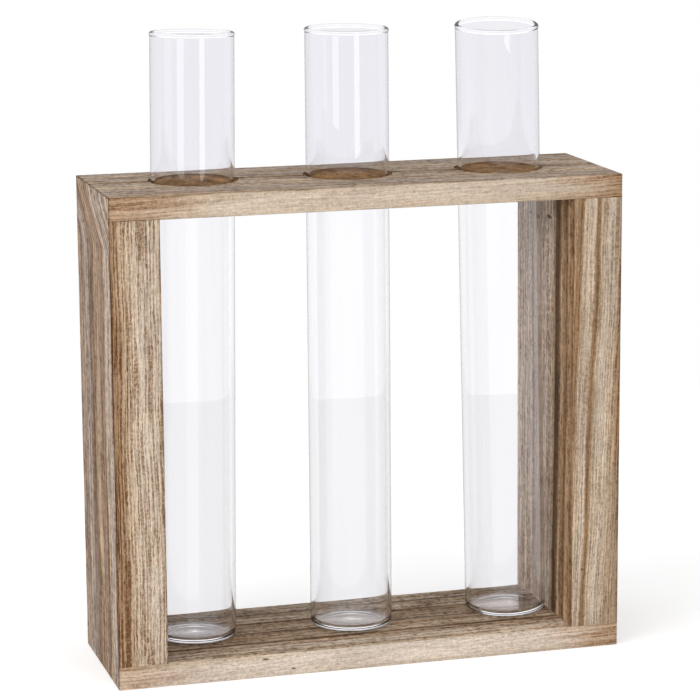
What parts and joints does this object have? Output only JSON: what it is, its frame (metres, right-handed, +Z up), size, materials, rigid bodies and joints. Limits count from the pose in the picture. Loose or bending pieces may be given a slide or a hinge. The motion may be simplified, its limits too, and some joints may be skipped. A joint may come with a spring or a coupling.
{
  "type": "test tube vase",
  "caption": "Open upright wooden frame with round holes along its top board, holding clear flat-bottomed glass tubes for single flower stems",
  "frame": {"origin": "middle of the underside of the wooden frame", "axes": "+Z up, -Y towards the front of the frame, X along the row of tubes"},
  "size_m": [0.2, 0.063, 0.2447],
  "materials": {
    "board_wood": "lightly scorched and brushed pale softwood, unvarnished, matt",
    "clear_glass": "clear colourless blown glass, fire-polished mouth",
    "dowel_wood": "plain hardwood pin"
  },
  "bodies": {
    "frame": {"top_board": "board_wood", "bottom_board": "board_wood", "left_side_board": "board_wood", "right_side_board": "board_wood", "dowel_top_left_front": "dowel_wood", "dowel_top_left_back": "dowel_wood", "dowel_top_right_front": "dowel_wood", "dowel_top_right_back": "dowel_wood", "dowel_bottom_left_front": "dowel_wood", "dowel_bottom_left_back": "dowel_wood", "dowel_bottom_right_front": "dowel_wood", "dowel_bottom_right_back": "dowel_wood"},
    "left_tube": {"left_glass_tube": "clear_glass"},
    "middle_tube": {"middle_glass_tube": "clear_glass"},
    "right_tube": {"right_glass_tube": "clear_glass"}
  },
  "joints": [
    {"name": "left_tube_lift", "type": "slide", "parent": "frame", "child": "left_tube", "axis": [0.0201, 0.0327, 0.9993], "range_m": [0, 0.185]},
    {"name": "middle_tube_lift", "type": "slide", "parent": "frame", "child": "middle_tube", "axis": [0.0057, 0.0259, 0.9996], "range_m": [0, 0.185]},
    {"name": "right_tube_lift", "type": "slide", "parent": "frame", "child": "right_tube", "axis": [-0.0213, -0.0046, 0.9998], "range_m": [0, 0.185]}
  ]
}
